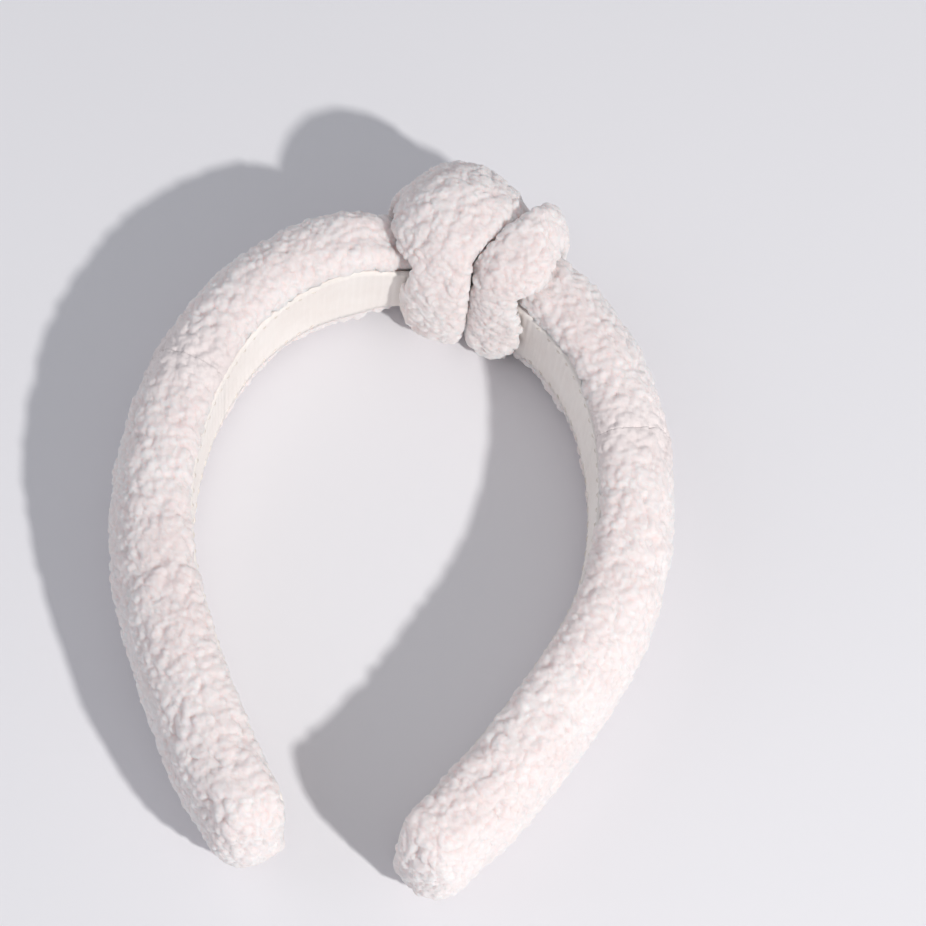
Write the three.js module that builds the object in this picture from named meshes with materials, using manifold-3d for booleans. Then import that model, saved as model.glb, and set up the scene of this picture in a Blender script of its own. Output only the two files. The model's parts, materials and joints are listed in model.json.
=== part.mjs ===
// A padded spa headband with a knotted crown, lying on its side, in millimetres.
// The open hoop lies in the XY plane: the knot is at the crown, towards +Y, and the two tips point to -Y.
// +Z runs across the band's width. Each arm flexes at a shoulder beside the knot and at an elbow halfway down,
// so the hoop, padding, cover and lining are split there, with a wedge of clearance on each side of the pivot.
import * as THREE from "three";
import { mergeVertices } from "three/addons/utils/BufferGeometryUtils.js";
import Module from "manifold-3d";

const wasm = await Module();
wasm.setup();

// The hoop line is the head side of the plastic hoop. It leaves the middle of the crown and turns towards the
// tip through three arcs. Places on the band are given as the distance along this line, the height out from it
// and the offset across the width from the band's middle.
const HOOP_ARCS = [
  { radius: 49, turn: THREE.MathUtils.degToRad(66) }, // over the crown
  { radius: 78, turn: THREE.MathUtils.degToRad(47.5) }, // down the side
  { radius: 254, turn: THREE.MathUtils.degToRad(13.5) }, // in to the tip
];
const HOOP_END = HOOP_ARCS.reduce((length, arc) => length + arc.radius * arc.turn, 0);
const STEP = 6.5; // length of one facet along the band
const GAP = 0.3; // clearance between touching pieces

// Cross-section of the band, outside the knot.
const BAND_HALF = 21; // half the band's width
const SIDE_LOW = 1; // the flat sides run between these two heights
const SIDE_HIGH = 7;
const DOME_RISE = 10; // from the top of the sides to the crown of the dome
const CHEEK_DEPTH = 4; // how far the pile stands inside the hoop line
const CHEEK_EDGE = 16.5; // where the cheeks begin, beside the lining
const RECESS_HALF = 15.5;
const HEM_OUTER = -1.5; // the turned-in hem lies between the hoop and the lining
const HEM_HALF_GAP = 7; // the two hems stop short of each other
const BAND_MIDDLE = (SIDE_HIGH + DOME_RISE - CHEEK_DEPTH) / 2;

const HOOP_THICK = 1.8;
const HOOP_HALF = 11.5;
const LINING_THICK = 1.2;
const LINING_HALF = 13;
const LINING_BACK = HEM_OUTER - GAP; // the lining's glued side
const FOAM_BASE = HOOP_THICK + GAP;
const FOAM_SIDE = 4.5; // top of the foam's straight sides
const FOAM_HALF = 15;
const FOAM_RISE = 7;
const TIP_CLOSURE = 5; // cover beyond the end of the hoop
const TIP_ROUNDING = 10; // length over which the closed end rounds off
const TIP_FLAT_SHARE = 0.5; // share of the section left at the very end

// Flex joints: where they are, how far they open and close, and the clearance they need.
const SHOULDER = 30;
const ELBOW = 104;
const SHOULDER_OPEN = 20;
const SHOULDER_CLOSE = 3;
const ELBOW_SHARE = 0.6; // the elbow turns this share of the shoulder's angle
const WEDGE_MARGIN = 0.6; // spare degrees on each face of a wedge
const PIVOT_HEIGHT = HOOP_THICK / 2;
const SLOT_HALF = 0.25; // half the slot through the pivot
const WEDGE_REACH = 26; // how far a wedge reaches from its pivot

// The knot: two turns of fleece wound over the crown around a pad of filling. The broad turn covers the outside
// and the left of the crown; the tucked turn comes out from under it at the right. A lean turns a form clockwise
// by degrees from straight out of the band. A fullness of 2 makes it an ellipsoid, and more makes it boxier.
const PINCH = 0.22; // share of the width that the knot squeezes out of the band
const PINCH_MIDDLE = 3.5;
const PINCH_FULL = 12; // full squeeze this far to each side of its middle
const PINCH_END = 24; // and none beyond this
const PINCH_FROM_HEIGHT = 3; // the squeeze lowers only what is above the hoop
const BROAD_TURN = { along: 4.4, lift: 1.6, lean: 34, radii: [18.2, 18.8, 26.5], fullness: 2.5 };
const TUCKED_TURN = { along: 17.6, lift: 1.2, lean: -15, radii: [11.2, 16.4, 26.5], fullness: 3 };
const FILLING = { along: 4, lift: 1.5, lean: 0, radii: [13, 12, 18], fullness: 2.5 };
const CREASE_ALONG = 9; // the corner where the two creases between the turns meet
const CREASE_HEIGHT = -1.4;
const SIDE_CREASE_TILT = 18; // the crease that runs to the head side, from straight out
const TOP_CREASE_TILT = 58; // the crease that runs out to the right, from along the band
const KNOT_RISE = 1.5; // the knot's middle above the band's, across the width
const FAR = 80; // side of a block that is bigger than the knot

const rad = THREE.MathUtils.degToRad;

const materials = {
  fleece: new THREE.MeshStandardMaterial({ color: 0xf3e9e4, roughness: 1, metalness: 0 }),
  lining: new THREE.MeshStandardMaterial({ color: 0xf1e7da, roughness: 0.75, metalness: 0 }),
  foam: new THREE.MeshStandardMaterial({ color: 0xf0e8d2, roughness: 0.95, metalness: 0 }),
  plastic: new THREE.MeshStandardMaterial({ color: 0xf6f4ee, roughness: 0.45, metalness: 0 }),
  filling: new THREE.MeshStandardMaterial({ color: 0xfbfbf8, roughness: 1, metalness: 0 }),
};

// ---- Places on the band ----

// The point and the clockwise heading of the hoop line at a signed distance from the crown.
function hoopAt(along) {
  const side = Math.sign(along);
  let left = Math.abs(along);
  let heading = 0;
  let x = 0;
  let y = 0;
  HOOP_ARCS.forEach(({ radius, turn }, i) => {
    const last = i === HOOP_ARCS.length - 1;
    const angle = last ? left / radius : Math.min(left / radius, turn);
    x += radius * (Math.sin(heading + angle) - Math.sin(heading));
    y += radius * (Math.cos(heading + angle) - Math.cos(heading));
    heading += angle;
    left -= angle * radius;
  });
  return { x: side * x, y, heading: side * heading };
}

// A frame on the band: X along it towards the right tip, Y out from the head, Z across the width.
function frameAt(along, height) {
  const { x, y, heading } = hoopAt(along);
  return new THREE.Matrix4()
    .makeTranslation(x, y, BAND_HALF)
    .multiply(new THREE.Matrix4().makeRotationZ(-heading))
    .multiply(new THREE.Matrix4().makeTranslation(0, height, 0));
}

// The stretch of the hoop line between two distances, as a path at the middle of the width.
class HoopSpan extends THREE.Curve {
  constructor(from, to) {
    super();
    this.from = from;
    this.to = to;
  }

  getPoint(t, target = new THREE.Vector3()) {
    const { x, y } = hoopAt(this.from + (this.to - this.from) * t);
    return target.set(x, y, BAND_HALF);
  }
}

// ---- Solids ----

function toSolid(geometry) {
  const bare = new THREE.BufferGeometry();
  const loose = geometry.index ? geometry.toNonIndexed() : geometry;
  bare.setAttribute("position", loose.getAttribute("position"));
  const merged = mergeVertices(bare, 1e-4);
  const vertProperties = new Float32Array(merged.getAttribute("position").array);
  const triVerts = new Uint32Array(merged.index.array);
  return new wasm.Manifold(new wasm.Mesh({ numProp: 3, vertProperties, triVerts }));
}

function toGeometry(solid) {
  const { vertProperties, triVerts } = solid.getMesh();
  const geometry = new THREE.BufferGeometry();
  geometry.setAttribute("position", new THREE.BufferAttribute(new Float32Array(vertProperties), 3));
  geometry.setIndex(new THREE.BufferAttribute(new Uint32Array(triVerts), 1));
  const flat = geometry.toNonIndexed();
  flat.computeVertexNormals();
  return flat;
}

// A section swept along the band. In the section, X is across the width and Y is the height out from the head.
function sweep(section, from, to, curveSegments = 6) {
  const steps = Math.max(1, Math.round((to - from) / STEP));
  const extrudePath = new HoopSpan(from, to);
  return new THREE.ExtrudeGeometry(section, { steps, extrudePath, curveSegments, bevelEnabled: false });
}

// ---- Cross-sections ----

function rectangle(half, low, high) {
  const shape = new THREE.Shape();
  shape.moveTo(-half, low);
  shape.lineTo(half, low);
  shape.lineTo(half, high);
  shape.lineTo(-half, high);
  shape.closePath();
  return shape;
}

// A flat base with straight sides and a domed top.
function domed(half, low, side, rise) {
  const shape = new THREE.Shape();
  shape.moveTo(-half, low);
  shape.lineTo(half, low);
  shape.lineTo(half, side);
  shape.absellipse(0, side, half, rise, 0, Math.PI, false);
  shape.closePath();
  return shape;
}

// The outline of the cover. Its cheeks stand proud of a recess that holds the lining.
function coverOutline() {
  const shape = new THREE.Shape();
  shape.moveTo(-RECESS_HALF, HEM_OUTER);
  shape.lineTo(RECESS_HALF, HEM_OUTER);
  shape.lineTo(CHEEK_EDGE, -CHEEK_DEPTH);
  shape.quadraticCurveTo(BAND_HALF, -CHEEK_DEPTH, BAND_HALF, SIDE_LOW);
  shape.lineTo(BAND_HALF, SIDE_HIGH);
  shape.absellipse(0, SIDE_HIGH, BAND_HALF, DOME_RISE, 0, Math.PI, false);
  shape.lineTo(-BAND_HALF, SIDE_LOW);
  shape.quadraticCurveTo(-BAND_HALF, -CHEEK_DEPTH, -CHEEK_EDGE, -CHEEK_DEPTH);
  shape.closePath();
  return shape;
}

// The whole band with a little clearance around it, which the knot's pieces are cut back from.
function bandEnvelope() {
  return domed(BAND_HALF + 2 * GAP, -CHEEK_DEPTH - GAP, SIDE_HIGH, DOME_RISE + 2 * GAP);
}

// ---- Shaping ----

// Squeezes a swept piece where it passes under the knot. Only the crown's first arc is affected.
function pinchUnderKnot(geometry) {
  const crown = HOOP_ARCS[0].radius;
  const position = geometry.getAttribute("position");
  for (let i = 0; i < position.count; i++) {
    const x = position.getX(i);
    const y = position.getY(i) + crown;
    const angle = Math.atan2(x, y);
    const height = Math.hypot(x, y) - crown;
    const away = Math.abs(angle * crown - PINCH_MIDDLE);
    const share = 1 - PINCH * (1 - THREE.MathUtils.smoothstep(away, PINCH_FULL, PINCH_END));
    const above = Math.max(0, height - PINCH_FROM_HEIGHT);
    const reach = crown + height - above * (1 - share);
    const across = (position.getZ(i) - BAND_HALF) * share;
    position.setXYZ(i, reach * Math.sin(angle), reach * Math.cos(angle) - crown, BAND_HALF + across);
  }
  return geometry;
}

// Rounds off the closed end of a swept cover beyond the hoop.
function roundTip(geometry) {
  const toBand = frameAt(HOOP_END + TIP_CLOSURE, BAND_MIDDLE);
  const toLocal = toBand.clone().invert();
  const point = new THREE.Vector3();
  const position = geometry.getAttribute("position");
  for (let i = 0; i < position.count; i++) {
    point.fromBufferAttribute(position, i).applyMatrix4(toLocal);
    const into = Math.min(1, Math.max(0, 1 + point.x / TIP_ROUNDING));
    const share = TIP_FLAT_SHARE + (1 - TIP_FLAT_SHARE) * Math.sqrt(1 - into * into);
    point.y *= share;
    point.z *= share;
    point.applyMatrix4(toBand);
    position.setXYZ(i, point.x, point.y, point.z);
  }
  return geometry;
}

// The clearance at a flex joint: a bow tie with its waist at the pivot. The wedge outside the pivot closes as
// the arm opens, and the wedge inside it closes as the tips are squeezed together.
function flexClearance(along, open, close) {
  const wide = SLOT_HALF + WEDGE_REACH * Math.tan(rad(open / 2 + WEDGE_MARGIN));
  const narrow = SLOT_HALF + WEDGE_REACH * Math.tan(rad(close / 2 + WEDGE_MARGIN));
  const shape = new THREE.Shape();
  shape.moveTo(-narrow, -WEDGE_REACH);
  shape.lineTo(narrow, -WEDGE_REACH);
  shape.lineTo(SLOT_HALF, 0);
  shape.lineTo(wide, WEDGE_REACH);
  shape.lineTo(-wide, WEDGE_REACH);
  shape.lineTo(-SLOT_HALF, 0);
  shape.closePath();
  const prism = new THREE.ExtrudeGeometry(shape, { depth: FAR, bevelEnabled: false });
  prism.translate(0, 0, -FAR / 2);
  return toSolid(prism.applyMatrix4(frameAt(along, PIVOT_HEIGHT)));
}

const shoulderClearance = flexClearance(SHOULDER, SHOULDER_OPEN, SHOULDER_CLOSE);
const elbowClearance = flexClearance(ELBOW, SHOULDER_OPEN * ELBOW_SHARE, SHOULDER_CLOSE * ELBOW_SHARE);
const leftShoulderClearance = flexClearance(-SHOULDER, SHOULDER_OPEN, SHOULDER_CLOSE);
const clearances = [shoulderClearance, elbowClearance, leftShoulderClearance];

function clearOfJoints(solid) {
  return clearances.reduce((rest, clearance) => rest.subtract(clearance), solid);
}

// ---- The strips and sleeves of one stretch ----

function strip(half, low, high, from, to, shaping = asSwept) {
  return clearOfJoints(toSolid(shaping(sweep(rectangle(half, low, high), from, to))));
}

function foam(from, to, shaping) {
  const section = domed(FOAM_HALF, FOAM_BASE, FOAM_SIDE, FOAM_RISE);
  return clearOfJoints(toSolid(shaping(sweep(section, from, to))));
}

// The fleece sleeve: hollow for the hoop and its foam, with its two hems turned in under the lining.
function cover(from, to, hollowFrom, hollowTo, shaping, hollowShaping) {
  const outside = toSolid(shaping(sweep(coverOutline(), from, to)));
  const hollowSection = domed(FOAM_HALF + GAP, -GAP, FOAM_SIDE, FOAM_RISE + GAP);
  const hollow = toSolid(hollowShaping(sweep(hollowSection, hollowFrom, hollowTo)));
  const hemGap = toSolid(sweep(rectangle(HEM_HALF_GAP, HEM_OUTER - 1, 1), hollowFrom, hollowTo));
  return clearOfJoints(outside.subtract(hollow).subtract(hemGap));
}

const asSwept = (geometry) => geometry;

// The pieces of one stretch of the band, by layer. The cover's hollow runs past the ends that stay open.
function stretch(from, to, endsInTip = false, underKnot = false) {
  const shaping = underKnot ? pinchUnderKnot : asSwept;
  const coverEnd = endsInTip ? to + TIP_CLOSURE : to;
  const hollowEnd = endsInTip ? to + GAP : to + 1;
  return {
    hoop: strip(HOOP_HALF, 0, HOOP_THICK, from, to),
    foam: foam(from, to, shaping),
    cover: cover(from, coverEnd, from - 1, hollowEnd, endsInTip ? roundTip : shaping, shaping),
    lining: strip(LINING_HALF, LINING_BACK - LINING_THICK, LINING_BACK, from, to, shaping),
  };
}

// ---- The knot ----

// A plump closed form on the band, between an ellipsoid and a box, lifted out from the band's middle.
function plump({ along, lift, lean, radii, fullness }, grow = 0) {
  const geometry = new THREE.SphereGeometry(1, 24, 16);
  geometry.rotateX(Math.PI / 2);
  const position = geometry.getAttribute("position");
  const point = new THREE.Vector3();
  for (let i = 0; i < position.count; i++) {
    point.fromBufferAttribute(position, i);
    const powers = point.toArray().map((value) => Math.abs(value) ** fullness);
    point.divideScalar((powers[0] + powers[1] + powers[2]) ** (1 / fullness));
    position.setXYZ(i, point.x, point.y, point.z);
  }
  geometry.scale(...radii.map((radius) => radius + grow));
  geometry.rotateZ(rad(-lean));
  geometry.translate(0, 0, KNOT_RISE);
  return toSolid(geometry.applyMatrix4(frameAt(along, BAND_MIDDLE + lift)));
}

// A block whose near side passes through the corner of the creases, pushed away from it by a clearance.
function blockFromCorner(direction, tilt, clearance) {
  const block = new THREE.BoxGeometry(FAR, FAR, FAR);
  const shift = direction.clone().multiplyScalar(FAR / 2 + clearance);
  block.translate(shift.x, shift.y, shift.z);
  block.rotateZ(rad(tilt));
  return toSolid(block.applyMatrix4(frameAt(CREASE_ALONG, CREASE_HEIGHT)));
}

// The quarter to the right of one crease and on the head side of the other, where the tucked turn is.
function tuckedQuarter(clearance) {
  const right = blockFromCorner(new THREE.Vector3(1, 0, 0), SIDE_CREASE_TILT, clearance);
  const headSide = blockFromCorner(new THREE.Vector3(0, -1, 0), TOP_CREASE_TILT, clearance);
  return right.intersect(headSide);
}

function aboveRest() {
  const block = new THREE.BoxGeometry(2 * FAR, 2 * FAR, FAR);
  block.translate(0, 0, FAR / 2);
  return toSolid(block);
}

function makeKnot() {
  const envelope = toSolid(pinchUnderKnot(sweep(bandEnvelope(), -SHOULDER - GAP, SHOULDER + GAP)));
  const room = plump(FILLING, GAP);
  const fitted = (turn) => turn.intersect(aboveRest()).subtract(envelope).subtract(room);
  return {
    knot_filling: plump(FILLING).subtract(envelope),
    knot_broad_turn: fitted(plump(BROAD_TURN).subtract(tuckedQuarter(-GAP / 2))),
    knot_tucked_turn: fitted(plump(TUCKED_TURN).intersect(tuckedQuarter(GAP / 2))),
  };
}

// ---- The headband ----

const materialOf = { hoop: "plastic", foam: "foam", cover: "fleece", lining: "lining" };

function addPiece(group, name, solid, material) {
  const mesh = new THREE.Mesh(toGeometry(solid), material);
  mesh.name = name;
  group.add(mesh);
}

function addStretch(group, suffix, pieces) {
  for (const [layer, solid] of Object.entries(pieces)) {
    addPiece(group, `${layer}_${suffix}`, solid, materials[materialOf[layer]]);
  }
}

const headband = new THREE.Group();
const crown = new THREE.Group();
const upper = stretch(SHOULDER, ELBOW);
const lower = stretch(ELBOW, HOOP_END, true);
addStretch(crown, "crown", stretch(-SHOULDER, SHOULDER, false, true));
for (const [name, solid] of Object.entries(makeKnot())) {
  addPiece(crown, name, solid, name === "knot_filling" ? materials.filling : materials.fleece);
}
headband.add(crown);
for (const [side, mirror] of [["right", 1], ["left", -1]]) {
  const arm = new THREE.Group();
  arm.scale.x = mirror;
  addStretch(arm, `${side}_upper`, upper);
  addStretch(arm, `${side}_lower`, lower);
  headband.add(arm);
}

// The origin is under the middle of the whole headband.
const bounds = new THREE.Box3().setFromObject(headband);
const middle = bounds.getCenter(new THREE.Vector3());
headband.position.set(-middle.x, -middle.y, -bounds.min.z);

export default headband;
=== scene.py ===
"""The looks of a padded spa headband.

It has fleece sleeves with a curly pile, a knot of two turns, and a ribbon lining with its stitches.
Everything is in metres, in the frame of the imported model. Places on the band are given by the distance along
the hoop line from the middle of the crown (plus towards the right tip), the height out from the head, and
the offset across the band's width from its middle.
"""

import json
import math

import bpy
import numpy as np
from mathutils import Matrix, Vector
from mathutils.bvhtree import BVHTree


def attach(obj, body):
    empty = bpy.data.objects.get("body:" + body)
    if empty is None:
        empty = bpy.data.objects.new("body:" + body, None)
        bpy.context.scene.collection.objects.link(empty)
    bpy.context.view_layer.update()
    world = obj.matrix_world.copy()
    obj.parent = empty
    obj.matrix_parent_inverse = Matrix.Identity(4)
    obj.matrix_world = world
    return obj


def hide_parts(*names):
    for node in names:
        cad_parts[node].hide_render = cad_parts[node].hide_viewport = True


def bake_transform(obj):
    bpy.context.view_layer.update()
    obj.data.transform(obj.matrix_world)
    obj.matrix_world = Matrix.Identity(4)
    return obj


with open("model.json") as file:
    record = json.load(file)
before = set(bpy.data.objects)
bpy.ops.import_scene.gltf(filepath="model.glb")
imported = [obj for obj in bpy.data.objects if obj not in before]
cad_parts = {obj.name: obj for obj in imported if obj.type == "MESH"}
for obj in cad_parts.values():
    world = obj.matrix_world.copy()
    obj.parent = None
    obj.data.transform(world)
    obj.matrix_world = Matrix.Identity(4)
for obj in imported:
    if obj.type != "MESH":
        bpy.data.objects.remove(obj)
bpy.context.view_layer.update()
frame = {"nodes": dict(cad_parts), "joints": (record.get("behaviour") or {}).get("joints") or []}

MM = 0.001
UP = np.array((0.0, 0.0, 1.0))

# ---- The band, as the CAD model has it ----

HOOP_ARCS = (  # radius and turn of each arc of the hoop line, from the crown to the tip
    (49 * MM, math.radians(66)),
    (78 * MM, math.radians(47.5)),
    (254 * MM, math.radians(13.5)),
)
HOOP_END = sum(radius * turn for radius, turn in HOOP_ARCS)
SHOULDER = 30 * MM  # the two flex joints of each arm
ELBOW = 104 * MM
PIVOT_HEIGHT = 0.9 * MM
BAND_HALF = 21 * MM
PINCH_MIDDLE = 3.5 * MM  # the knot squeezes the band around here
PINCH_FULL = 12 * MM
PINCH_END = 24 * MM
PINCH_FROM_HEIGHT = 3 * MM
KNOT_MIDDLE = 7 * MM  # the knot lies on the band from here, this far to each side
KNOT_FULL = 13 * MM
KNOT_END = 19 * MM
PINCH = 0.22

# ---- The fleece ----

PILE = 2.0 * MM  # from the woven ground of the fleece out to the CAD cover's surface
SKIN_HALF = BAND_HALF - PILE
SIDE_LOW = 1 * MM  # the straight part of the sides
SIDE_HIGH = 7 * MM
DOME_RISE = 10 * MM - PILE
CHEEK = -4 * MM + PILE  # the fleece beside the lining
RECESS = -1.5 * MM  # the fleece behind the lining
RECESS_HALF = 14.5 * MM
SLEEVE_SPLIT = 67 * MM  # the sleeves meet here, where the upper arm stays stiff
SLEEVE_END = HOOP_END + 5 * MM - PILE
TIP_ROUNDING = 10 * MM
STRAIGHT_END = SLEEVE_END - TIP_ROUNDING
SWOLLEN_TO = STRAIGHT_END - 12 * MM  # from here the rows to the tip stay less and less swollen
TIP_MIDDLE = 5 * MM  # the height that the closed end rounds off to
TIP_POWER = 2.6
ROW_STEP = 2.3 * MM
SECTION_POINTS = 44
BEHIND_SHARE = 0.35  # the skin behind the lining has this share of the points that the rest has
REFINE = 6

LINING_HALF = 13 * MM
LINING_LOW = -3.2 * MM
LINING_THICK = 1.0 * MM

SHOULDER_REACH = 16 * MM  # the stretch to each side of a joint that the fabric would bend over; bend() works it out but doesn't use it
ELBOW_REACH = 24 * MM


def smoothstep(value, low, high):
    share = np.clip((value - low) / (high - low), 0, 1)
    return share * share * (3 - 2 * share)


def hoop_at(along):
    """x, y and clockwise heading of the hoop line, with y from the line's own crown."""
    side = np.sign(along)
    left = np.abs(along)
    x, y, heading = np.zeros_like(left), np.zeros_like(left), np.zeros_like(left)
    for number, (radius, turn) in enumerate(HOOP_ARCS):
        last = number == len(HOOP_ARCS) - 1
        angle = left / radius if last else np.minimum(left / radius, turn)
        x = x + radius * (np.sin(heading + angle) - np.sin(heading))
        y = y + radius * (np.cos(heading + angle) - np.cos(heading))
        heading = heading + angle
        left = left - angle * radius
    return side * x, y, side * heading


def joint_place(name):
    return next(joint["pos_m"] for joint in frame["joints"] if joint["name"] == name)


def crown_line_y():
    """The hoop line's y at the crown, from the place of the right shoulder joint."""
    _, y, heading = hoop_at(np.array(SHOULDER))
    return joint_place("right_shoulder_flex")[1] - float(y + PIVOT_HEIGHT * np.cos(heading))


CROWN_Y = crown_line_y()
CROWN_RADIUS = HOOP_ARCS[0][0]


def band_points(along, height, across):
    x, y, heading = hoop_at(np.asarray(along, float))
    height = np.asarray(height, float)
    points = np.broadcast_arrays(
        x + height * np.sin(heading),
        CROWN_Y + y + height * np.cos(heading),
        BAND_HALF + np.asarray(across, float),
    )
    return np.stack(points, axis=-1)


def band_place(points):
    """The distance along, height and offset across of points on the first arc, over the crown."""
    x = points[..., 0]
    y = points[..., 1] - CROWN_Y + CROWN_RADIUS
    along = np.arctan2(x, y) * CROWN_RADIUS
    return along, np.hypot(x, y) - CROWN_RADIUS, points[..., 2] - BAND_HALF


# ---- Meshes ----


def make_object(name, points, faces, materials, smooth=True):
    """An object from points and arrays of faces. smooth is one value, or one for each array of faces."""
    mesh = bpy.data.meshes.new(name)
    mesh.vertices.add(len(points))
    mesh.vertices.foreach_set("co", np.asarray(points, np.float32).ravel())
    corners = np.concatenate([part.ravel() for part in faces])
    sizes = np.concatenate([np.full(len(part), part.shape[1]) for part in faces])
    mesh.loops.add(len(corners))
    mesh.loops.foreach_set("vertex_index", corners.astype(np.int32))
    mesh.polygons.add(len(sizes))
    mesh.polygons.foreach_set("loop_start", (np.cumsum(sizes) - sizes).astype(np.int32))
    mesh.update(calc_edges=True)
    mesh.validate()
    smooth = np.repeat(np.broadcast_to(smooth, len(faces)), [len(part) for part in faces])
    mesh.polygons.foreach_set("use_smooth", smooth)
    for material in materials:
        mesh.materials.append(material)
    made = bpy.data.objects.new(name, mesh)
    bpy.context.scene.collection.objects.link(made)
    return made


def merge(shapes):
    """One shape from several, where a shape is (points, faces)."""
    points, faces, count = [], [], 0
    for shape_points, shape_faces in shapes:
        points.append(shape_points)
        faces.extend(part + count for part in shape_faces)
        count += len(shape_points)
    return np.concatenate(points), faces


def tube_faces(rows, around):
    """Quads between the rows of a grid that closes on itself around."""
    index = np.arange(rows * around).reshape(rows, around)
    onward = np.roll(index, -1, axis=1)
    return np.stack([index[:-1], index[1:], onward[1:], onward[:-1]], axis=-1).reshape(-1, 4)


def closed_tube(grid):
    """A tube of the rows of a grid, with a fan over its start and another over its end."""
    rows, around, _ = grid.shape
    ring = np.arange(around)
    onward = np.roll(ring, -1)
    first, last = rows * around, rows * around + 1
    final = (rows - 1) * around
    start_fan = np.stack([ring, onward, np.full(around, first)], axis=-1)
    end_fan = np.stack([onward + final, ring + final, np.full(around, last)], axis=-1)
    points = np.concatenate([grid.reshape(-1, 3), grid[:1].mean(axis=1), grid[-1:].mean(axis=1)])
    return points, [tube_faces(rows, around), start_fan, end_fan]


def triangles_of(faces):
    parts = []
    for part in faces:
        parts.extend(part[:, [0, corner, corner + 1]] for corner in range(1, part.shape[1] - 1))
    return np.concatenate(parts)


def point_normals(points, faces):
    triangles = triangles_of(faces)
    a, b, c = (points[triangles[:, corner]] for corner in range(3))
    facing = np.cross(b - a, c - a)
    normals = np.zeros_like(points)
    for corner in range(3):
        np.add.at(normals, triangles[:, corner], facing)
    return unit(normals)


def unit(vectors):
    lengths = np.linalg.norm(vectors, axis=-1, keepdims=True)
    return vectors / np.maximum(lengths, 1e-12)


def refine(grid, times, axis, ring):
    """Puts more points between neighbours along an axis of a grid, on Catmull-Rom curves."""
    grid = np.moveaxis(grid, axis, 0)
    if ring:
        before, here = np.roll(grid, 1, axis=0), grid
        after, later = np.roll(grid, -1, axis=0), np.roll(grid, -2, axis=0)
    else:
        ends = np.concatenate([2 * grid[:1] - grid[1:2], grid, 2 * grid[-1:] - grid[-2:-1]])
        before, here, after, later = ends[:-3], ends[1:-2], ends[2:-1], ends[3:]
    curves = []
    for step in range(times):
        t = step / times
        bend = 2 * before - 5 * here + 4 * after - later
        twist = 3 * here - before - 3 * after + later
        curves.append((2 * here + (after - before) * t + bend * t**2 + twist * t**3) / 2)
    result = np.stack(curves, axis=1).reshape(-1, *grid.shape[1:])
    if not ring:
        result = np.concatenate([result, grid[-1:]])
    return np.moveaxis(result, 0, axis)


# ---- Cloth ----

CLOTH_FRAMES = 20


def swell(points, faces, pinned, pressure, cap):
    """Blows up a closed skin as cloth, and gives its points back, none moved further than the cap."""
    skin = make_object("swelling", points, faces, [])
    group = skin.vertex_groups.new(name="pinned")
    group.add([int(i) for i in np.flatnonzero(pinned)], 1, "REPLACE")
    cloth = skin.modifiers.new("Cloth", "CLOTH")
    cloth.settings.quality = 5
    cloth.settings.mass = 0.1
    cloth.settings.tension_stiffness = 8
    cloth.settings.compression_stiffness = 8
    cloth.settings.shear_stiffness = 3
    cloth.settings.bending_stiffness = 0.2
    cloth.settings.use_pressure = True
    cloth.settings.uniform_pressure_force = pressure
    cloth.settings.effector_weights.gravity = 0
    cloth.settings.vertex_group_mass = "pinned"
    cloth.collision_settings.use_collision = False
    for number in range(1, CLOTH_FRAMES + 1):
        bpy.context.scene.frame_set(number)
    settled = skin.evaluated_get(bpy.context.evaluated_depsgraph_get())
    swollen = np.empty(len(points) * 3, np.float32)
    settled.data.vertices.foreach_get("co", swollen)
    bpy.context.scene.frame_set(1)
    bpy.data.objects.remove(skin)
    moved = swollen.reshape(-1, 3).astype(float) - points
    length = np.linalg.norm(moved, axis=-1, keepdims=True)
    return points + moved * np.minimum(1, cap / np.maximum(length, 1e-12))


# ---- Noise ----

CORNERS = np.array([(x, y, z) for x in (0, 1) for y in (0, 1) for z in (0, 1)])
NEIGHBOURS = np.array([(x, y, z) for x in (-1, 0, 1) for y in (-1, 0, 1) for z in (-1, 0, 1)])
HASH_PRIMES = np.array((73856093, 19349663, 83492791), np.uint32)


def hashed(cells, seed):
    """A number from 0 to 1 for each whole-numbered cell, the same at every run."""
    mixed = cells.astype(np.int64).astype(np.uint32) * HASH_PRIMES
    value = mixed[..., 0] ^ mixed[..., 1] ^ mixed[..., 2] ^ np.uint32(seed * 7919 + 1)
    for factor in (2246822519, 3266489917):
        value = (value ^ (value >> np.uint32(15))) * np.uint32(factor)
    return (value ^ (value >> np.uint32(16))) / 2.0**32


def soft_noise(points, size, seed):
    """Smooth noise from 0 to 1, with features about one size across."""
    scaled = points / size
    base = np.floor(scaled)
    share = scaled - base
    share = share * share * (3 - 2 * share)
    total = np.zeros(len(points))
    for corner in CORNERS:
        weight = np.prod(np.where(corner, share, 1 - share), axis=-1)
        total += weight * hashed(base + corner, seed)
    return total


def cell_noise(points, size, seed):
    """How far the nearest of many scattered centres is, as a share of their spacing, and its number."""
    scaled = points / size
    base = np.floor(scaled)
    nearest = np.full(len(points), 9.0)
    number = np.zeros(len(points))
    for neighbour in NEIGHBOURS:
        cell = base + neighbour
        centre = cell + np.stack([hashed(cell, seed + axis) for axis in range(3)], axis=-1)
        distance = np.linalg.norm(scaled - centre, axis=-1)
        closer = distance < nearest
        nearest = np.where(closer, distance, nearest)
        number = np.where(closer, hashed(cell, seed + 3), number)
    return nearest, number


# ---- Pile ----

NUB_SPACING = 2.6 * MM  # the pile curls up into nubs about this far apart
NUB_HEIGHT = 0.95 * MM
SMALL_NUB_SPACING = 1.5 * MM
SMALL_NUB_HEIGHT = 0.65 * MM
CLUMP_SIZE = 7 * MM
CLUMP_HEIGHT = 0.7 * MM
SWIRL_SIZE = 3 * MM
SWIRL = 0.7 * MM  # how far the noise that shapes the nubs is stirred
NUB_RADIUS = 0.8  # of their spacing
NUB_ROUNDNESS = 0.6


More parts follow.
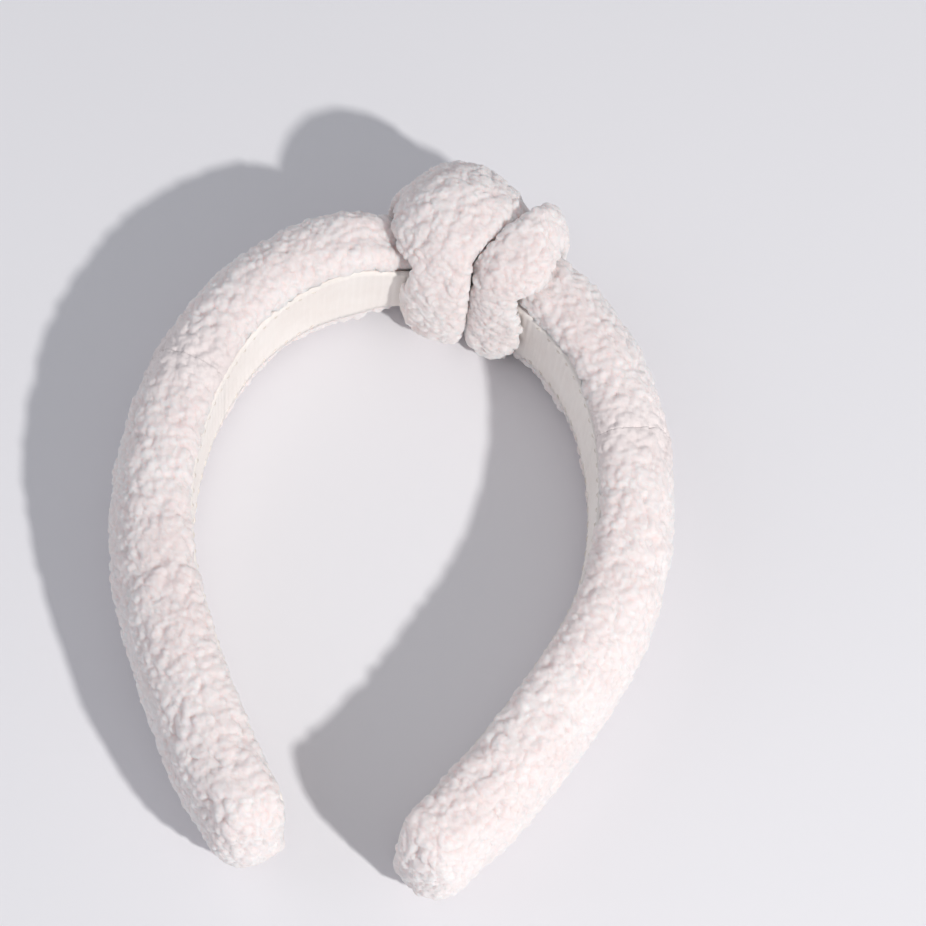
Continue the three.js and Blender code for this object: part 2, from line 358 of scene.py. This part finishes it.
def stirred(points, size, strength, seed):
    """Points moved aside by smooth noise, so that shapes built on them curl."""
    shifts = [soft_noise(points, size, seed + axis) - 0.5 for axis in range(3)]
    return points + 2 * strength * np.stack(shifts, axis=-1)


def nubs(points, spacing, seed):
    """Round-topped lumps, 0 between them and about 1 on top."""
    distance, number = cell_noise(points, spacing, seed)
    dome = np.clip(1 - (distance / NUB_RADIUS) ** 2, 0, 1) ** NUB_ROUNDNESS
    return dome * (0.65 + 0.5 * number)


def pile_height(points):
    """How far the curled pile stands above the woven ground."""
    curled = stirred(points, SWIRL_SIZE, SWIRL, 21)
    large = nubs(curled, NUB_SPACING, 11)
    small = nubs(curled, SMALL_NUB_SPACING, 15)
    clumps = soft_noise(points, CLUMP_SIZE, 3)
    return NUB_HEIGHT * large + SMALL_NUB_HEIGHT * small + CLUMP_HEIGHT * (clumps - 0.5)


def furred(points, faces, covered):
    """A skin with nubbly pile. covered is 1 at its points with full pile, and 0 where it is bare."""
    return points + point_normals(points, faces) * (pile_height(points) * covered)[:, None], faces


# ---- Materials ----


def new_material(name, roughness):
    material = bpy.data.materials.new(name)
    material.use_nodes = True
    shader = material.node_tree.nodes["Principled BSDF"]
    shader.inputs["Roughness"].default_value = roughness
    return material, material.node_tree, shader


def noise(tree, scale, detail=3.0, roughness=0.55):
    where = tree.nodes.new("ShaderNodeTexCoord")
    texture = tree.nodes.new("ShaderNodeTexNoise")
    texture.inputs["Scale"].default_value = scale
    texture.inputs["Detail"].default_value = detail
    texture.inputs["Roughness"].default_value = roughness
    tree.links.new(where.outputs["Object"], texture.inputs["Vector"])
    return texture.outputs["Fac"]


def ramp(tree, value, stops):
    """A colour ramp through (position, colour) stops."""
    node = tree.nodes.new("ShaderNodeValToRGB")
    elements = node.color_ramp.elements
    while len(elements) < len(stops):
        elements.new(0.5)
    for element, (position, colour) in zip(elements, stops):
        element.position = position
        element.color = (*colour, 1)
    tree.links.new(value, node.inputs["Fac"])
    return node.outputs["Color"]


def bump(tree, shader, height, strength, distance):
    node = tree.nodes.new("ShaderNodeBump")
    node.inputs["Strength"].default_value = strength
    node.inputs["Distance"].default_value = distance
    tree.links.new(height, node.inputs["Height"])
    tree.links.new(node.outputs["Normal"], shader.inputs["Normal"])


def remap(tree, value, low, high):
    node = tree.nodes.new("ShaderNodeMapRange")
    node.inputs["To Min"].default_value = low
    node.inputs["To Max"].default_value = high
    tree.links.new(value, node.inputs["Value"])
    return node.outputs["Result"]


def fleece_material():
    material, tree, shader = new_material("fleece", 0.95)
    patches = noise(tree, 60)
    colour = ramp(tree, patches, ((0.3, (0.85, 0.765, 0.755)), (0.7, (0.93, 0.855, 0.845))))
    tree.links.new(colour, shader.inputs["Base Color"])
    tree.links.new(remap(tree, noise(tree, 400), 0.85, 1.0), shader.inputs["Roughness"])
    shader.inputs["Sheen Weight"].default_value = 0.35
    shader.inputs["Sheen Roughness"].default_value = 0.5
    seam = tree.nodes.new("ShaderNodeAttribute")
    seam.attribute_name = "seam"
    tree.links.new(remap(tree, seam.outputs["Fac"], 1.0, 0.0), shader.inputs["Subsurface Weight"])
    shader.inputs["Subsurface Radius"].default_value = (1.0, 0.8, 0.75)
    shader.inputs["Subsurface Scale"].default_value = 3 * MM
    bump(tree, shader, noise(tree, 2300, 3, 0.7), 0.8, 0.3 * MM)
    return material


def lining_material():
    material, tree, shader = new_material("lining_ribbon", 0.7)
    colour = ramp(tree, noise(tree, 90), ((0.3, (0.90, 0.85, 0.81)), (0.7, (0.95, 0.915, 0.88))))
    tree.links.new(colour, shader.inputs["Base Color"])
    tree.links.new(remap(tree, noise(tree, 500), 0.6, 0.8), shader.inputs["Roughness"])
    shader.inputs["Sheen Weight"].default_value = 0.15
    bump(tree, shader, noise(tree, 3500, 2), 0.35, 0.15 * MM)
    return material


def thread_material():
    material, tree, shader = new_material("thread", 0.6)
    colour = ramp(tree, noise(tree, 900), ((0.3, (0.74, 0.68, 0.62)), (0.7, (0.84, 0.79, 0.74))))
    tree.links.new(colour, shader.inputs["Base Color"])
    bump(tree, shader, noise(tree, 5000, 1), 0.4, 0.08 * MM)
    return material


def foam_material():
    material, tree, shader = new_material("foam", 0.95)
    colour = ramp(tree, noise(tree, 700), ((0.35, (0.72, 0.66, 0.50)), (0.6, (0.86, 0.81, 0.66))))
    tree.links.new(colour, shader.inputs["Base Color"])
    bump(tree, shader, noise(tree, 1500, 4), 0.6, 0.3 * MM)
    return material


def plastic_material():
    material, tree, shader = new_material("hoop_plastic", 0.45)
    colour = ramp(tree, noise(tree, 40), ((0.3, (0.86, 0.85, 0.82)), (0.7, (0.90, 0.89, 0.86))))
    tree.links.new(colour, shader.inputs["Base Color"])
    tree.links.new(remap(tree, noise(tree, 300), 0.38, 0.52), shader.inputs["Roughness"])
    bump(tree, shader, noise(tree, 900, 2), 0.1, 0.05 * MM)
    return material


def filling_material():
    material, tree, shader = new_material("filling", 1.0)
    colour = ramp(tree, noise(tree, 500), ((0.3, (0.86, 0.86, 0.85)), (0.7, (0.95, 0.95, 0.94))))
    tree.links.new(colour, shader.inputs["Base Color"])
    bump(tree, shader, noise(tree, 1200, 5), 0.7, 0.4 * MM)
    return material


def floor_material():
    material, tree, shader = new_material("floor", 0.8)
    colour = ramp(tree, noise(tree, 3), ((0.3, (0.80, 0.80, 0.83)), (0.7, (0.82, 0.82, 0.85))))
    tree.links.new(colour, shader.inputs["Base Color"])
    return material


FLEECE = fleece_material()
LINING = lining_material()
THREAD = thread_material()

# ---- The sleeves ----

SLEEVE_PRESSURE = 120
SLEEVE_CAP = 1.2 * MM  # the cloth simulation moves no point of a sleeve further than this
SEAM_FULL = 1 * MM  # light doesn't scatter here, or the meeting ends would show as a dark line
SEAM_REACH = 13 * MM

TIP_ROWS = 12
TIP_LAST_ANGLE = 0.485 * math.pi  # a little short of the end, where the rows would shrink to a point
COVER_FROM = 1.4 * MM  # the pile starts this far inside the lining's edge
COVER_FULL = 0.2 * MM


def section_outline():
    """The sleeve's section: offsets across and heights, evenly spaced from the middle of the head side."""
    turn = np.linspace(0, 1, 25)[1:]
    dome = np.linspace(0, math.pi / 2, 40)[1:]
    lower_half = SKIN_HALF - RECESS_HALF
    across = np.concatenate(
        [
            [0, RECESS_HALF - 1.5 * MM],
            RECESS_HALF + lower_half * np.sin(turn * math.pi / 2),
            [SKIN_HALF],
            SKIN_HALF * np.cos(dome),
        ]
    )
    height = np.concatenate(
        [
            [RECESS, RECESS],
            CHEEK + (SIDE_LOW - CHEEK) * (1 - np.cos(turn * math.pi / 2)),
            [SIDE_HIGH],
            SIDE_HIGH + DOME_RISE * np.sin(dome),
        ]
    )
    across = np.concatenate([across, -across[-2:0:-1], [0]])
    height = np.concatenate([height, height[-2:0:-1], [RECESS]])
    steps = np.hypot(np.diff(across), np.diff(height))
    behind_lining = (np.abs(across[1:] + across[:-1]) / 2 < LINING_HALF) & (height[1:] < 0)
    steps = np.where(behind_lining, steps * BEHIND_SHARE, steps)
    length = np.concatenate([[0], np.cumsum(steps)])
    even = np.linspace(0, length[-1], SECTION_POINTS, endpoint=False)
    return np.interp(even, length, across), np.interp(even, length, height)


def sleeve_rows():
    """Distances along the band of the sleeve's rows, closer together at the tip."""
    first = np.linspace(0, SLEEVE_SPLIT, round(SLEEVE_SPLIT / ROW_STEP) + 1)
    rest = STRAIGHT_END - SLEEVE_SPLIT
    second = np.linspace(SLEEVE_SPLIT, STRAIGHT_END, round(rest / ROW_STEP) + 1)[1:]
    closing = STRAIGHT_END + TIP_ROUNDING * np.sin(np.linspace(0, TIP_LAST_ANGLE, TIP_ROWS))[1:]
    return np.concatenate([first, second, closing]), len(first) - 1


def pinch_share(along):
    """The share of its width that the band keeps where the knot squeezes it."""
    away = np.abs(along - PINCH_MIDDLE)
    return 1 - PINCH * (1 - smoothstep(away, PINCH_FULL, PINCH_END))


def tip_share(distance):
    """The share of its size that the band keeps towards the rounded end."""
    into = np.clip((distance - STRAIGHT_END) / TIP_ROUNDING, 0, 1)
    return (1 - into**TIP_POWER) ** (1 / TIP_POWER)


GATHER = 0.045
GATHERS_ROUND = 11
FINE_GATHERS_ROUND = 17
FINE_GATHER = 0.6  # of the height of the others
GATHER_TWIST = 9 * MM  # the folds turn one radian round the band over this distance
GATHER_FROM = 13 * MM  # the folds are strongest at the knot, and gone at the second distance
GATHER_TO = 40 * MM

CREASES = (  # distance along the band, slant across it, and width of the band that each takes in
    (-62 * MM, 0.25, 15 * MM),
    (-83 * MM, -0.2, 13 * MM),
    (-122 * MM, 0.3, 14 * MM),
    (57 * MM, -0.25, 12 * MM),
    (96 * MM, 0.2, 15 * MM),
    (139 * MM, -0.2, 12 * MM),
)
CREASE_DEPTH = 0.035
CREASE_WIDTH = 2.4 * MM
CREASE_MIDDLE = 8 * MM  # the dents are deepest this far towards one side of the band


def gathers(along, height, across):
    """Folds that run out from under the knot, as a share of the sleeve's size."""
    around = np.arctan2(height - SIDE_HIGH / 2, across)
    fade = 1 - smoothstep(np.abs(along - PINCH_MIDDLE), GATHER_FROM, GATHER_TO)
    broad = np.sin(GATHERS_ROUND * around + along / GATHER_TWIST)
    folds = broad + FINE_GATHER * np.sin(FINE_GATHERS_ROUND * around)
    return GATHER * fade * folds / (1 + FINE_GATHER)


def creases(along, across):
    """Shallow dents across the fleece, as a share of the sleeve's size."""
    depth = np.zeros_like(along)
    for place, slant, width in CREASES:
        away = (along - place - slant * across) / CREASE_WIDTH
        reach = np.exp(-(((across - CREASE_MIDDLE) / width) ** 2))
        depth = depth + np.exp(-(away**2)) * reach
    return CREASE_DEPTH * depth


def sleeve_grid(side):
    """The points of one arm's skin, with the place on the band of each before the tip is rounded."""
    rows, split = sleeve_rows()
    across, height = section_outline()
    along = np.broadcast_to(rows[:, None], (len(rows), SECTION_POINTS)).copy()
    height = np.broadcast_to(height, along.shape).copy()
    across = np.broadcast_to(across, along.shape).copy()
    share = pinch_share(side * along)
    height = np.where(
        height > PINCH_FROM_HEIGHT, PINCH_FROM_HEIGHT + (height - PINCH_FROM_HEIGHT) * share, height
    )
    across = across * share
    fullness = 1 + gathers(side * along, height, across) - creases(side * along, across)
    height = np.where(height > 0, height * fullness, height)
    across = across * fullness
    values = np.stack([side * along, height, across], axis=-1)
    closing = tip_share(along)
    height = TIP_MIDDLE + (height - TIP_MIDDLE) * closing
    across = across * closing
    grid = band_points(side * along, height, across)
    if side < 0:
        grid, values = grid[:, ::-1], values[:, ::-1]
    return grid, values, split


def sleeve_cover(values):
    """Where the pile shows: everywhere but behind the lining and inside the knot."""
    along, height, across = np.moveaxis(values, -1, 0)
    edge = LINING_HALF * pinch_share(along)
    behind = smoothstep(np.abs(across), edge - COVER_FROM, edge - COVER_FULL)
    open_side = np.where(height < 0, behind, 1)
    past_end = smoothstep(np.abs(along), HOOP_END, HOOP_END + 1 * MM)
    return np.maximum(open_side, past_end) * past_knot(along)


def past_knot(along):
    """0 where the knot presses on the band, and 1 where the band is free."""
    return smoothstep(np.abs(along - KNOT_MIDDLE), KNOT_FULL, KNOT_END)


def make_arm(side, name):
    """The upper and the lower sleeve of one arm."""
    grid, values, split = sleeve_grid(side)
    shape = closed_tube(grid)
    pinned = (values[..., 1] < 0) & (np.abs(values[..., 2]) < RECESS_HALF)
    pinned[0] = True
    pinned = np.concatenate([pinned.ravel(), [True, False]])
    moved = swell(*shape, pinned, SLEEVE_PRESSURE, SLEEVE_CAP)[:-2].reshape(grid.shape)
    swollen = 1 - smoothstep(np.abs(values[..., :1]), SWOLLEN_TO, STRAIGHT_END)
    swollen = swollen * past_knot(values[..., :1])
    grid = grid + (moved - grid) * swollen
    for axis, ring in ((0, False), (1, True)):
        grid = refine(grid, REFINE, axis, ring)
        values = refine(values, REFINE, axis, ring)
    covered = np.concatenate([sleeve_cover(values).ravel(), [0, 0]])
    points, _ = furred(*closed_tube(grid), covered)
    grid = points[:-2].reshape(grid.shape)
    meeting = split * REFINE
    pieces = []
    for part, rows in (("upper", slice(0, meeting + 1)), ("lower", slice(meeting, None))):
        # The ends where the sleeves meet are flat, so that they don't bend the shading beside them.
        smooth = (True, False, part == "lower")
        piece = make_object(f"{name}_{part}_sleeve", *closed_tube(grid[rows]), [FLEECE], smooth)
        mark_seam(piece, np.abs(values[rows][..., 0]))
        pieces.append(piece)
    return pieces


def mark_seam(piece, along):
    """Marks the fleece near the place where two sleeves meet, for the material."""
    near = 1 - smoothstep(np.abs(along - SLEEVE_SPLIT), SEAM_FULL, SEAM_REACH)
    near = np.concatenate([near.ravel(), near[[0, -1], 0]])
    layer = piece.data.attributes.new("seam", "FLOAT", "POINT")
    layer.data.foreach_set("value", near.astype(np.float32))


# ---- The knot ----

KNOT_VOXEL = 1.4 * MM
KNOT_INSET = 0.3 * MM
KNOT_PRESSURE = 8
KNOT_CAP = 1.5 * MM
BARE_LOW = -4.5 * MM  # the turns are bare where they lie on the band: between these heights
BARE_HIGH = 15 * MM
BARE_HALF = 18 * MM
PRESS_RANGE = 5 * MM  # solids further away than this don't matter
PRESS_CLEAR = 0.3 * MM
COVERS = ["cover_crown", "cover_right_upper", "cover_left_upper"]


def soft_copy(node, voxel, inset, pressure, cap):
    """A CAD node's shape as soft goods: remeshed, drawn in, rounded and swollen as cloth."""
    mesh = frame["nodes"][node].data.copy()
    copy = bpy.data.objects.new("soft_copy", mesh)
    bpy.context.scene.collection.objects.link(copy)
    remesh = copy.modifiers.new("Remesh", "REMESH")
    remesh.mode = "VOXEL"
    remesh.voxel_size = voxel
    smooth = copy.modifiers.new("Smooth", "SMOOTH")
    smooth.factor = 0.5
    smooth.iterations = 3
    made = copy.evaluated_get(bpy.context.evaluated_depsgraph_get()).to_mesh()
    points = np.empty(len(made.vertices) * 3, np.float32)
    made.vertices.foreach_get("co", points)
    points = points.reshape(-1, 3).astype(float)
    quads = np.empty(len(made.loops), np.int32)
    made.loops.foreach_get("vertex_index", quads)
    faces = [quads.reshape(-1, 4)]
    bpy.data.objects.remove(copy)
    points = points - point_normals(points, faces) * inset
    points = swell(points, faces, np.zeros(len(points), bool), pressure, cap)
    return points, faces


def subdivided(points, faces):
    """The same skin with two levels of smooth subdivision."""
    coarse = make_object("coarse", points, faces, [])
    level = coarse.modifiers.new("Subdivision", "SUBSURF")
    level.levels = 2
    made = coarse.evaluated_get(bpy.context.evaluated_depsgraph_get()).to_mesh()
    fine = np.empty(len(made.vertices) * 3, np.float32)
    made.vertices.foreach_get("co", fine)
    quads = np.empty(len(made.loops), np.int32)
    made.loops.foreach_get("vertex_index", quads)
    bpy.data.objects.remove(coarse)
    return fine.reshape(-1, 3).astype(float), [quads.reshape(-1, 4)]


def knot_cover(points):
    """Where the pile shows on the knot: where it doesn't lie on the band."""
    _, height, across = band_place(points)
    on_band = (height > BARE_LOW) & (height < BARE_HIGH) & (np.abs(across) < BARE_HALF)
    return np.where(on_band, 0.0, 1.0)


def solid_gaps(node, points):
    """How far points are outside a CAD solid, less than 0 inside it, and the direction away from it."""
    solid = frame["nodes"][node]
    corners = [solid.matrix_world @ vertex.co for vertex in solid.data.vertices]
    tree = BVHTree.FromPolygons(corners, [tuple(polygon.vertices) for polygon in solid.data.polygons])
    gaps = np.full(len(points), PRESS_RANGE)
    away = np.zeros_like(points)
    for number, point in enumerate(points):
        nearest, normal, _, _ = tree.find_nearest(point, PRESS_RANGE)
        if nearest is not None:
            apart = Vector(point) - nearest
            gaps[number] = math.copysign(apart.length, apart.dot(normal))
            away[number] = normal
    return gaps, away


def pressed(points, node, neighbours):
    """Moves points that are nearer to a neighbour than to their own solid to halfway between the two."""
    for neighbour in neighbours:
        own, _ = solid_gaps(node, points)
        gaps, away = solid_gaps(neighbour, points)
        points = points + away * (np.maximum(0, own - gaps + PRESS_CLEAR) / 2)[:, None]
    return points


def make_turn(name, node, neighbours):
    points, faces = soft_copy(node, KNOT_VOXEL, KNOT_INSET, KNOT_PRESSURE, KNOT_CAP)
    points, faces = subdivided(points, faces)
    points, faces = furred(points, faces, knot_cover(points))
    turn = make_object(name, pressed(points, node, neighbours), faces, [FLEECE])
    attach(turn, "crown")
    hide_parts(node)
    return turn


# ---- Lining ----

LINING_ROW_STEP = 0.5 * MM
LINING_POINTS = 13  # across each face
RIB_DEPTH = 0.07 * MM  # fine ribs run across the ribbon
RIB_STEP = 2 * MM
EDGE_WAVE = 0.012  # of the ribbon's width
EDGE_WAVE_LENGTH = 3.1 * MM


def lining_grid(side, start, end):
    """A ribbon along the head side, as rows of a flat closed section."""
    rows = round((end - start) / LINING_ROW_STEP) + 1
    along = np.linspace(start, end, rows)[:, None]
    half = np.linspace(-1, 1, LINING_POINTS)
    across = np.concatenate([half, half[::-1]]) * LINING_HALF
    low = LINING_LOW + RIB_DEPTH * np.cos(2 * math.pi * along / RIB_STEP)
    out = np.concatenate([np.zeros(LINING_POINTS), np.ones(LINING_POINTS)])
    height = low * (1 - out) + (LINING_LOW + LINING_THICK) * out
    closing = tip_share(along)
    height = TIP_MIDDLE + (height - TIP_MIDDLE) * closing
    wave = 1 + EDGE_WAVE * np.sin(along / EDGE_WAVE_LENGTH)
    edge = closing * pinch_share(side * along) * wave
    grid = band_points(side * along + 0 * across, height, across * edge)
    return grid if side > 0 else grid[:, ::-1]


def make_lining(side, name, part, start, end):
    points, faces = closed_tube(lining_grid(side, start, end))
    return make_object(f"{name}_{part}_lining", points, faces, [LINING], (True, False, False))


# ---- Stitches ----

STITCHES_FROM = 30 * MM  # clear of the knot at every pose
STITCH_STEP = 4 * MM
STITCH_LENGTH = 1.7 * MM
STITCH_SLANT = 0.8 * MM  # each stitch slants towards the ribbon's edge by this much
STITCH_INSET = 1.9 * MM  # from the ribbon's edge to the middle of a stitch
STITCH_THICK = 0.24 * MM
STITCH_SINK = 0.25 * MM  # its two ends are pulled this far into the ribbon
STITCH_TAPER = 0.5
STITCH_SIDES = 6


def stitch(side, edge, along):
    """One slanted stitch near an edge of the lining: a thin rod that arches over the ribbon."""
    share = np.linspace(-1, 1, 5)
    steps = side * (along + share * STITCH_LENGTH / 2)
    half = LINING_HALF * pinch_share(steps) - STITCH_INSET
    across = edge * (half + share * STITCH_SLANT / 2)
    height = LINING_LOW - STITCH_THICK / 2 + STITCH_SINK * share**2
    turn = np.linspace(0, 2 * math.pi, STITCH_SIDES, endpoint=False)
    thick = STITCH_THICK * (1 - STITCH_TAPER * share**4)
    height = height[:, None] + thick[:, None] * np.cos(turn)
    across = across[:, None] + thick[:, None] * np.sin(turn)
    grid = band_points(steps[:, None] + 0 * across, height, across)
    return closed_tube(grid if side > 0 else grid[:, ::-1])


def make_stitches(side, name, part, start, end):
    """The two rows of slip stitches that hold one stretch of the lining."""
    start, end = max(start, STITCHES_FROM), min(end, STRAIGHT_END)
    count = round((end - start) / STITCH_STEP)
    places = start + (np.arange(count) + 0.5) * (end - start) / count
    rows = [stitch(side, edge, along) for edge in (-1, 1) for along in places]
    return make_object(f"{name}_{part}_stitches", *merge(rows), [THREAD])


# ---- Putting it together ----


def place(along, side):
    return Vector(band_points(np.array(side * along), np.array(PIVOT_HEIGHT), np.array(0.0)))


def bend(piece, name, side, part):
    """Bakes a piece's placement into its mesh. The stretch about the shoulder or the elbow of one arm that it
    would bend over is worked out, but nothing uses it.
    """
    if part == "upper":
        reach = SHOULDER_REACH
        start, end = place(SHOULDER - reach, side), place(SHOULDER + reach, side)
        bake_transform(piece)
    else:
        reach = ELBOW_REACH
        start, end = place(ELBOW - reach, side), place(ELBOW + reach, side)
        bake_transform(piece)


def dress_arm(side, name):
    spans = {"upper": (0, SLEEVE_SPLIT), "lower": (SLEEVE_SPLIT, HOOP_END)}
    for piece, (part, (start, end)) in zip(make_arm(side, name), spans.items()):
        bend(piece, name, side, part)
        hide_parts(f"cover_{name}_{part}")
        lining = make_lining(side, name, part, start, end)
        bend(lining, name, side, part)
        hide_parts(f"lining_{name}_{part}")
        thread = make_stitches(side, name, part, start, end)
        bend(thread, name, side, part)
        if part == "upper" and side > 0:
            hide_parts("cover_crown")
            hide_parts("lining_crown")


def finish_hidden_nodes():
    """The hoop, the foam and the filling stay as the CAD model has them, inside the fleece."""
    materials = {"hoop": plastic_material(), "foam": foam_material(), "knot": filling_material()}
    for name, node in frame["nodes"].items():
        kind = name.split("_")[0]
        if kind in materials and not node.hide_render:
            node.data.materials.clear()
            node.data.materials.append(materials[kind])


# ---- Camera, light and floor ----

CAMERA_AZIMUTH = math.radians(-2)
CAMERA_ELEVATION = math.radians(70)
CAMERA_ROLL = math.radians(8.9)
CAMERA_DISTANCE = 0.8
CAMERA_SENSOR = 36.0
FRAME_WIDTH = 0.2246  # how much of the scene the frame takes in at the object
AIM_RIGHT = 17.16 * MM
AIM_UP = 13.75 * MM
FLOOR_HALF = 3.0
FLOOR_BELOW = 0.3 * MM


def view_axes():
    """The directions to the camera, to the right and up in its view."""
    back = np.array(
        (
            math.sin(CAMERA_AZIMUTH) * math.cos(CAMERA_ELEVATION),
            -math.cos(CAMERA_AZIMUTH) * math.cos(CAMERA_ELEVATION),
            math.sin(CAMERA_ELEVATION),
        )
    )
    level_up = unit(np.array((0.0, 1.0, 0.0)) - back * back[1])
    level_right = np.cross(level_up, back)
    right = math.cos(CAMERA_ROLL) * level_right + math.sin(CAMERA_ROLL) * level_up
    return back, right, np.cross(back, right)


def add_camera():
    back, right, up = view_axes()
    aim = np.array((0, 0, BAND_HALF)) + AIM_RIGHT * right + AIM_UP * up
    camera_data = bpy.data.cameras.new("camera")
    camera_data.sensor_width = CAMERA_SENSOR
    camera_data.lens = CAMERA_SENSOR * CAMERA_DISTANCE / FRAME_WIDTH
    camera = bpy.data.objects.new("camera", camera_data)
    turn = Matrix((right, up, back)).transposed().to_4x4()
    camera.matrix_world = Matrix.Translation(aim + CAMERA_DISTANCE * back) @ turn
    bpy.context.scene.collection.objects.link(camera)
    bpy.context.scene.camera = camera


def add_light(name, direction, distance, size, power, colour):
    light_data = bpy.data.lights.new(name, "AREA")
    light_data.shape = "DISK"
    light_data.size = size
    light_data.energy = power
    light_data.color = colour
    light = bpy.data.objects.new(name, light_data)
    towards = Vector(direction).normalized()
    light.location = towards * distance
    light.rotation_euler = towards.to_track_quat("Z", "Y").to_euler()
    bpy.context.scene.collection.objects.link(light)


def add_stage():
    corners = np.array([(-1, -1, 0), (1, -1, 0), (1, 1, 0), (-1, 1, 0)]) * FLOOR_HALF - FLOOR_BELOW * UP
    floor = make_object("floor", corners, [np.array([[0, 1, 2, 3]])], [floor_material()])
    add_light("key", (0.75, -0.6, 1.0), 1.6, 0.08, 17.0, (1.0, 0.975, 0.95))
    add_light("fill", (-0.9, 0.1, 0.8), 1.8, 1.6, 4.2, (0.95, 0.96, 1.0))
    world = bpy.data.worlds.new("studio")
    bpy.context.scene.world = world
    world.use_nodes = True
    background = world.node_tree.nodes["Background"]
    background.inputs["Color"].default_value = (0.90, 0.91, 0.96, 1)
    background.inputs["Strength"].default_value = 0.43
    bpy.context.scene.view_settings.view_transform = "Standard"


add_camera()
add_stage()
dress_arm(1, "right")
dress_arm(-1, "left")
make_turn("broad_turn_fleece", "knot_broad_turn", [*COVERS, "knot_tucked_turn"])
make_turn("tucked_turn_fleece", "knot_tucked_turn", [*COVERS, "knot_broad_turn"])
finish_hidden_nodes()
